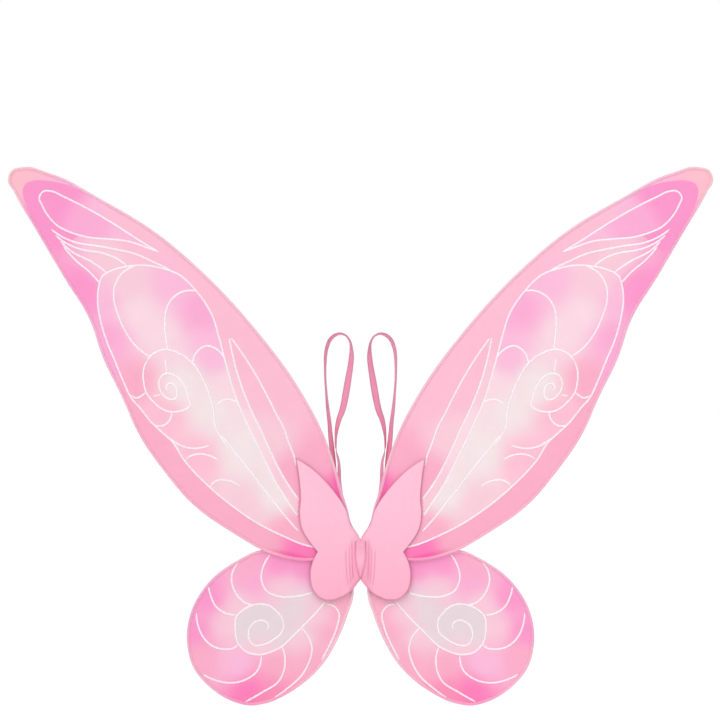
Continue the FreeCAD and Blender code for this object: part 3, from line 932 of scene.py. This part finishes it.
# Each pleat as its place at its top, its top, its bottom and how far it drifts to the middle.
PLEATS = [(19.6, 19, -38, 4.5), (15.0, 25, -36, 3.0), (11.4, 31, -30, 2.2)]
PLEAT_GUIDES = (-1.7, -0.85, 0, 0.85, 1.7)  # how far beside a pleat's middle mesh lines run
PATCH_PRESS = 1.35  # how far the patch presses the back leaves in
PATCH_SEAT = 5.45  # and how far out they may lie under it
FACING = {"front": -1, "back": 1}
OVERLOCK_PITCH = 1.9
OVERLOCK_STEP = 0.22
OVERLOCK_REACH = 0.75  # how far each loop of the overlock swings across the edge
OVERLOCK_RISE = 0.85  # and in depth


def leaf_outline(side_name, face):
    """Half of the butterfly: the CAD leaf and its half of the neck, as one outline."""
    loop, _ = face_outline(f"{side_name}_cover_{face}", SIDES[side_name])
    leaf = opened(loop)
    if leaf[0][1] > leaf[-1][1]:
        leaf = leaf[::-1]
    neck, _ = face_outline("neck_cover_front", 0)
    notches = neck[np.abs(neck[:, 0]) < 0.1][:, 1]
    width, shoulders = neck[:, 0].max(), neck[neck[:, 0] > 1][:, 1]
    return np.vstack([[(0, notches.min())], [(width, shoulders.min())], leaf,
                      [(width, shoulders.max())], [(0, notches.max())]])


def pleat_middle(height, place, top, bottom, drift):
    """How far out a pleat's middle is at these heights."""
    return place - drift * np.clip((top - height) / (top - bottom), 0, 1) ** 3


def pleat_lines():
    """Lines for the mesh to follow down each pleat."""
    lines = []
    for pleat in PLEATS:
        height = np.arange(pleat[1], pleat[2], -1.5)
        middle = pleat_middle(height, *pleat)
        lines += [columns(middle + aside, height) for aside in PLEAT_GUIDES]
    return lines


def spindle_edge():
    """The right half of the spindle's outline, as a line from its bottom to its top."""
    outline, _ = face_outline("neck_wrap", 0)
    outline = evenly(closed(outline), 1.2)
    sides = outline[(outline[:, 0] > 0.6) & (outline[:, 1] < outline[:, 1].max() - 1)]
    return sides[np.argsort(sides[:, 1])]


def beside_spindle(out, height):
    """How far each place is from the spindle's edge."""
    return distance_to(columns(np.abs(out), height), spindle_edge())


def pleat_depth(points):
    """How deep the gathers beside the neck are at each point."""
    out, height = points.T
    total = np.zeros(len(points))
    for pleat in PLEATS:
        middle = pleat_middle(height, *pleat)
        fade = smooth((pleat[1] - height) / 14) * smooth((height - pleat[2]) / 8)
        total += fade * np.exp(-((out - middle) / PLEAT_HALF_WIDTH) ** 2)
    return np.clip(total, 0, 1)


def leaf_shape(points, edge, facing):
    """The inner and outer depth of the felt, from the middle of the stack, and the painted shade of
    each point.
    """
    out, height = points.T
    inset = distance_to(points, edge)
    neck = smooth((NECK_END - out) / NECK_EASE)
    rolled = smooth((20 - out) / 8) * (1 - smooth(inset / 6)) ** 2
    inner = EDGE_GAP + (INNER_GAP - EDGE_GAP) * smooth(inset / 10)
    inner = inner * (1 - neck) + NECK_GAP * neck - rolled * ROLL
    round_edge = np.sqrt(1 - (1 - np.clip(inset / FELT_EDGE, 0, 1)) ** 2)
    crown = FELT_CROWN * smooth(inset / 22) * (1 - 0.55 * neck)
    thick = round_edge * (FELT_THICKNESS + crown)
    lumps = 0.28 * ripple(points, 24, 4) * smooth(inset / 8) * (1 - neck)
    gathers = pleat_depth(points) * (1.0 if facing < 0 else 0.5)
    swell = 0.35 * np.sin(np.clip((out - 2) / 4.1, 0, 6) * math.pi) ** 2 * neck * smooth(inset / 5)
    outer = inner + thick + lumps + swell - PLEAT_DEPTH * gathers
    # Painted shade in the gathers and along the leaf's edge.
    painted_shade = 0.6 * gathers + 0.75 * (1 - smooth(inset / 1.7)) * smooth((out - 6) / 8)
    if facing < 0:
        outer -= 0.45 * smooth((9 - out) / 3) * smooth(inset / 3)
        # A painted shadow beside the spindle, and painted shade on the front leaf near the neck.
        painted_shade += 0.7 * np.exp(-beside_spindle(out, height) ** 2)
        painted_shade += 0.3 * smooth((17 - out) / 8) * smooth((34 - height) / 14)
    return inner, outer, np.clip(painted_shade, 0, 1)


def leaf_fill(outline, seam, face):
    """Points and faces that fill a leaf, finest at its seam and along its folds."""
    def clear(line, margin):
        return line[inside(line, outline) & (distance_to(line, seam) > margin)]

    loose = [clear(outline + leftward(outline) * inset, inset * 0.93) for inset in FELT_RINGS]
    folds = []
    if face == "front":
        beside = [spindle_edge() + [aside, 0] for aside in (-1, 0, 1, 2)]
        folds = [clear(line, 1) for line in pleat_lines() + beside]
    return filled(outline, folds, loose, FELT_SPACING)


def build_leaf(side_name, face, materials):
    """One felt leaf, closed and crowned, gathered at the neck."""
    side, facing = SIDES[side_name], FACING[face]
    outline = evenly_round(leaf_outline(side_name, face), 1.5)
    edge = closed(outline)
    seam = edge[edge[:, 0] > 0.01]
    points, faces = leaf_fill(outline, seam, face)
    inner, outer, painted_shade = leaf_shape(points, seam, facing)
    if face == "back":
        under_patch = smooth((FOLD_OUT + 4 - points[:, 0]) / 5)
        inner -= under_patch * PATCH_PRESS
        outer = outer * (1 - under_patch) + np.minimum(outer, PATCH_SEAT) * under_patch
        outer = np.maximum(outer, inner + 0.02)
    flat, faces, doubles = two_faced(points, faces, distance_to(points, edge), facing * outer,
                                     facing * inner)
    name = f"{side_name}_cover_leaf_{face}"
    piece = new_piece(name, placed(side, flat), faces, materials["felt"], flat)
    # The back face of each leaf gets a third of the painted shade.
    add_painted_shade(piece, np.concatenate([painted_shade, painted_shade[doubles] * 0.3]))
    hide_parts(f"{side_name}_cover_{face}")
    return piece, seam


def bend_at_fold(piece):
    """Bakes a piece's placement into its points."""
    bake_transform(piece)


def build_overlock(side_name, face, seam, materials):
    """Thread looped over and over round the edge of a felt leaf."""
    side, facing = SIDES[side_name], FACING[face]
    line = evenly(seam, OVERLOCK_STEP)
    turn = lengths_along(line) * 2 * math.pi / OVERLOCK_PITCH
    inner, outer, _ = leaf_shape(line, seam, facing)
    middle = (inner + outer) / 2
    left = leftward(line)
    reach = 0.45 + OVERLOCK_REACH * np.cos(turn)
    rise = OVERLOCK_RISE * np.sin(turn)
    centres = columns(line[:, 0] + left[:, 0] * reach, facing * (middle + rise),
                      line[:, 1] + left[:, 1] * reach)
    travel = unit(np.gradient(centres, axis=0))
    across = unit(np.cross(travel, columns(left[:, 0], 0, left[:, 1]) + [0, 0.3, 0]))
    up = np.cross(across, travel)
    flat, faces = swept(centres, across, up, ring(THREAD_RADIUS, 5))
    name = f"{side_name}_overlock_{face}"
    piece = new_piece(name, placed(side, flat), faces, materials["thread"], flat)
    bend_at_fold(piece)


def build_cover(side_name, materials):
    """A side's two felt leaves and the stitching round them."""
    for face in FACING:
        leaf, seam = build_leaf(side_name, face, materials)
        if face == "front" and side_name == "left":
            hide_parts("neck_cover_front")
        bend_at_fold(leaf)
        build_overlock(side_name, face, seam, materials)


# --- the middle ---------------------------------------------------------------------------------

PATCH_SEAM = 2.2  # the patch is stitched down this far inside its edge
PATCH_SQUARENESS = 14  # the higher, the tighter the patch's corners
STUFFING_RINGS = 61
STUFFING_SIDES = 48
STUFFING_SQUARENESS = 5


def closed_slab(outline, spacing, front_of, back_of):
    """A closed form with one outline and a depth of its own at each point of its two faces."""
    outline = evenly_round(outline, spacing * 0.7)
    points, faces = filled(outline, [], [], spacing)
    inset = distance_to(points, closed(outline))
    flat, faces, doubles = two_faced(points, faces, inset, front_of(points, inset),
                                     back_of(points, inset))
    return flat, faces, np.concatenate([inset, inset[doubles]])


def level(depth):
    """A face of a slab that is flat at this depth."""
    return lambda points, inset: np.full(len(points), depth)


def ruche(out, height):
    """The even ruches that run down the spindle, from -1 to 1."""
    return np.sin(out * 2.1 + 0.5 * np.sin(height * 0.12))


def build_spindle(materials):
    """The strip that wraps the gathers: broad at the top, drawn to a point, ruched along it."""
    outline, _ = face_outline("neck_wrap", 0)
    low, high = (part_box("neck_wrap")[i].y / MM for i in (0, 1))

    def crown(points, inset):
        folds = ruche(*points.T) * 0.16
        rise = smooth(np.minimum(beside_spindle(*points.T), inset * 3) / 3)
        return high - (high - low) * rise * (1 + folds)

    flat, faces, _ = closed_slab(outline, 0.9, crown, level(high + 0.1))
    piece = new_piece("neck_spindle", flat * MM, faces, materials["felt"], flat)
    out, _, height = flat.T
    # Painted shade along the spindle's edges and in its ruches, more towards its top and bottom.
    ruches = 0.3 + 0.25 * ruche(out, height)
    painted_edge_shade = 1 - smooth(beside_spindle(out, height) / 2)
    add_painted_shade(piece, 0.8 * painted_edge_shade + ruches * smooth(np.abs(height) / 16))
    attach(piece, "spine")
    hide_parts("neck_wrap")


def build_patch(materials):
    """The flat felt patch against the wearer's back, stitched down all round."""
    outline, _ = face_outline("neck_cover_back", 0)
    low, high = (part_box("neck_cover_back")[i].y / MM for i in (0, 1))
    middle = outline.mean(0)
    offset = evenly_round(outline, 1) - middle
    size = np.abs(outline - middle).max(0)
    power = (np.abs(offset / size) ** PATCH_SQUARENESS).sum(1) ** (1 / PATCH_SQUARENESS)
    rounded = middle + offset / np.maximum(power, 1)[:, None]

    def near_seam(inset, reach):
        return np.exp(-((inset - PATCH_SEAM) / reach) ** 2)

    def back(points, inset):
        return high - 0.55 * (1 - smooth(inset / 1.6)) - 0.25 * near_seam(inset, 0.5)

    flat, faces, inset = closed_slab(rounded, 1.1, level(low), back)
    piece = new_piece("neck_patch", flat * MM, faces, materials["felt"], flat)
    # Painted shade along the stitched seam and at the patch's edge.
    add_painted_shade(piece, 0.8 * near_seam(inset, 0.7) + 0.7 * (1 - smooth(inset / 1.2)))
    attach(piece, "spine")
    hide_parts("neck_cover_back")

    seam_line = closed(middle + (rounded - middle) * (1 - PATCH_SEAM / size))
    points, faces = stitches(seam_line, high - 0.3, 1, 2.8, 2.0, 0.18)
    seam = new_piece("neck_patch_stitches", points * MM, faces, materials["thread"], points)
    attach(seam, "spine")


def build_wadding(materials):
    """The stuffing of the neck, drawn in at its waist by the elastic band."""
    low, high = (np.array(corner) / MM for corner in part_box("neck_core"))
    band_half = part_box("neck_gather_band")[1].z / MM
    heights = np.linspace(low[2] + 3.5, high[2] - 3.5, STUFFING_RINGS)
    half = columns((high[0] - low[0]) / 2 - 0.4, (high[1] - low[1]) / 2 - 1.2)
    waist = smooth((band_half + 3.5 - np.abs(heights)) / 3)
    ends = np.sqrt(np.clip(1 - (np.abs(heights) / (heights[-1] + 0.5)) ** 6, 0.02, 1))
    angle = np.arange(STUFFING_SIDES) * 2 * math.pi / STUFFING_SIDES
    section = ring(1, STUFFING_SIDES)
    power = (np.abs(section) ** STUFFING_SQUARENESS).sum(1) ** (1 / STUFFING_SQUARENESS)
    section /= power[:, None]
    points = []
    for height, pinch, end in zip(heights, waist, ends):
        reach = half * (1 - 0.14 * pinch) * end
        tufts = 1 + 0.035 * np.sin(angle * 7 + height * 0.9) + 0.025 * np.sin(angle * 11 - height)
        layer = section * reach * np.where(pinch > 0.5, 1, tufts)[:, None]
        points.append(columns(layer[:, 0], layer[:, 1] + (low[1] + high[1]) / 2 - 0.6, height))
    points = np.vstack(points)
    faces = tube_faces(STUFFING_RINGS, STUFFING_SIDES)
    piece = new_piece("neck_wadding", points * MM, faces, materials["wadding"], points)
    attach(piece, "spine")
    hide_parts("neck_core")


# --- the shoulder loops -------------------------------------------------------------------------

BAND_STEP = 1.8
BAND_HALF_WIDTH = 4.75
BAND_CENTRE = 2.5  # half the width of the band's raised middle
LEAD_IN = 6  # the band runs straight up this far to its hinge
LAYER_GAP = 0.32  # the band's two ends lie this far from the middle between them
LAYERED = 20  # they keep to that for this much, and give it up over as much as LAYER_EASE
LAYER_EASE = 25


def strap_line(side_name):
    """The loop's middle line as (out, height, twist in degrees), and its depth, in the row frame."""
    place, back, hinge = (value / MM for value in JOINTS[f"{side_name}_strap_swing"]["pos_m"])
    place = abs(place)
    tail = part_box(f"{side_name}_strap_anchor")[0].z / MM + 0.4
    up = [(place, tail, 90), (place, hinge - LEAD_IN, 90), (place + 0.3, hinge, 88)]
    down = [(out, height, -twist) for out, height, twist in reversed(up)]
    line = curve_through([*up, *STRAP_LOOP, *down], BAND_STEP)
    bend = smooth((line[:, 1] - hinge + LEAD_IN) / (2 * LEAD_IN))
    over_hinge = np.maximum(line[:, 1] - hinge, 0)
    depth = back * bend - 0.8 * (1 - bend) + over_hinge * math.tan(strap_lean(side_name))
    return line, depth


def strap_lean(side_name):
    """How far the CAD strap leans towards the wearer."""
    low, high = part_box(f"{side_name}_strap")
    joint = JOINTS[f"{side_name}_strap_swing"]
    return math.atan2(high.y - BAND_HALF_WIDTH * MM - joint["pos_m"][1], high.z - joint["pos_m"][2])


def build_strap(side_name, materials):
    """Flat elastic, twisted as it hangs, with both ends sewn down side by side on the neck."""
    side = SIDES[side_name]
    line, depth = strap_line(side_name)
    count = len(line)
    ends = np.minimum(np.arange(count), np.arange(count)[::-1]) * BAND_STEP
    layer = np.where(np.arange(count) < count / 2, -1, 1) * LAYER_GAP
    layer = layer * (1 - smooth((ends - LAYERED) / LAYER_EASE))
    middles = columns(side * line[:, 0], depth + layer, line[:, 1])
    travel = unit(np.gradient(middles, axis=0))
    aside = unit(np.cross(travel, [0.0, 1.0, 0.0]))
    ahead = np.cross(aside, travel)
    twist = np.radians(line[:, 2])[:, None] * side
    wide = ahead * np.cos(twist) + aside * np.sin(twist)
    thin = np.cross(travel, wide)
    x = np.linspace(-1, 1, 15)
    raised = 0.36 + 0.2 * smooth((0.55 - np.abs(x)) / 0.12) + 0.03 * np.cos(x * math.pi * 8)
    raised = np.minimum(raised, 0.62 * np.sqrt(np.clip(1.02 - x ** 10, 0.02, 1)))
    thickness = 0.5 + 0.5 * smooth((ends - 16) / 14)
    upper = columns(x * BAND_HALF_WIDTH, raised)
    section = np.vstack([upper, upper[::-1] * [1, -1]])
    points, faces = swept(middles, wide, thin, section, columns(1, thickness))
    along = np.repeat(lengths_along(middles), len(section))
    lay = np.column_stack([np.tile(section, (count, 1)), along])
    piece = new_piece(f"{side_name}_strap_band", points * MM, faces, materials["elastic"], lay)
    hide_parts(f"{side_name}_strap", f"{side_name}_strap_anchor")
    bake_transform(piece)


# --- the CAD nodes that stay --------------------------------------------------------------------


def finish_cad_nodes(materials):
    """The hidden metal, bindings, tacks and band keep their CAD shape and get their finish."""
    kept = {"_wire": "steel", "_ferrule": "crimp", "_binding": "wound", "_tack": "bar_tack",
            "_band": "ribbed"}
    for name, item in frame["nodes"].items():
        for ending, material in kept.items():
            if name.endswith(ending):
                item.data.materials[0] = materials[material]


# --- the studio ---------------------------------------------------------------------------------

FRAME_WIDTH = 0.96
LENS = 200
SENSOR = 36
SIGHT = (-0.0007, -0.04, 0.268)  # what the camera looks at
FLOOR_GAP = 0.1
FLOOR_HALF = 30
WORLD_LIGHT = 0.3


def build_floor(material):
    """A wide floor a little below the wings."""
    corners = [(x * FLOOR_HALF, y * FLOOR_HALF, cad_low.z - FLOOR_GAP)
               for x, y in ((-1, -1), (1, -1), (1, 1), (-1, 1))]
    floor = new_piece("floor", corners, [(0, 1, 2, 3)], material)


def build_camera():
    """A long lens that looks straight at the front."""
    camera = bpy.data.objects.new("camera", bpy.data.cameras.new("camera"))
    camera.data.lens = LENS
    camera.data.sensor_width = SENSOR
    distance = FRAME_WIDTH * LENS / SENSOR
    camera.location = (SIGHT[0], SIGHT[1] - distance, SIGHT[2])
    camera.rotation_euler = (math.radians(90), 0, 0)
    camera.data.clip_end = 200
    bpy.context.scene.collection.objects.link(camera)
    bpy.context.scene.camera = camera


def add_sun(name, azimuth, elevation, strength, spread):
    """A wide, soft sun; azimuth 0 shines from the camera's side, 90 from the viewer's right."""
    lamp = bpy.data.lights.new(name, "SUN")
    lamp.energy = strength
    lamp.angle = math.radians(spread)
    item = bpy.data.objects.new(name, lamp)
    item.rotation_euler = (math.radians(90 - elevation), 0, math.radians(azimuth))
    bpy.context.scene.collection.objects.link(item)


def build_world():
    """Soft white light from all round, under a plain white backdrop."""
    world = bpy.data.worlds.new("studio")
    bpy.context.scene.world = world
    world.use_nodes = True
    tree = world.node_tree
    tree.nodes["Background"].inputs["Color"].default_value = (1, 1, 1, 1)
    tree.nodes["Background"].inputs["Strength"].default_value = WORLD_LIGHT
    seen = node(tree, "Background", {"Color": (1, 1, 1, 1), "Strength": 1.0})
    path = node(tree, "LightPath")
    both = node(tree, "MixShader", {0: path.outputs["Is Camera Ray"],
                                    1: tree.nodes["Background"].outputs[0], 2: seen.outputs[0]})
    tree.links.new(both.outputs[0], tree.nodes["World Output"].inputs["Surface"])
    bpy.context.scene.view_settings.view_transform = "Standard"


def build_studio():
    build_world()
    build_floor(floor_material())
    add_sun("key_light", -28, 48, 1.47, 50)
    add_sun("fill_light", 40, 35, 0.5, 40)
    add_sun("back_light", 170, 50, 1.5, 40)
    build_camera()


# --- everything together ------------------------------------------------------------------------

MATERIALS = {
    "sheer": sheer_material(), "glitter": glitter_material(), "casing": casing_material(),
    "felt": felt_material(), "steel": steel_material(),
    "thread": thread_material("sewing_thread", "#F0A0BB", "#FCB9CE"),
    "hem_thread": thread_material("hem_thread", "#FABDD1", "#FFD2E1"),
    "crimp": crimp_material(), "wound": wound_material(), "bar_tack": bar_tack_material(),
    "wadding": wadding_material(), "ribbed": ribbed_material(),
    "elastic": elastic_material("strap_elastic", "#FF9ABE", "#E297B3", BAND_HALF_WIDTH, BAND_CENTRE),
}

finish_cad_nodes(MATERIALS)
for side_name in SIDES:
    upper_cells = {"band": TIP_BAND, "strip": MAIN_LOOP[:8] + INNER_VEIN, "field": MAIN_LOOP,
                   "tip": TIP_LOOP}
    lower_cells = {"spiral": LOWER_SPIRAL[9:24]}
    build_wing(Wing(side_name, "upper", UPPER_VEINS, [TIP_BAND], UPPER_DYE, upper_cells, -3.0),
               MATERIALS)
    build_wing(Wing(side_name, "lower", LOWER_VEINS, [], LOWER_DYE, lower_cells, 2.0), MATERIALS)
    build_cover(side_name, MATERIALS)
    build_strap(side_name, MATERIALS)
build_spindle(MATERIALS)
build_patch(MATERIALS)
build_wadding(MATERIALS)
build_studio()
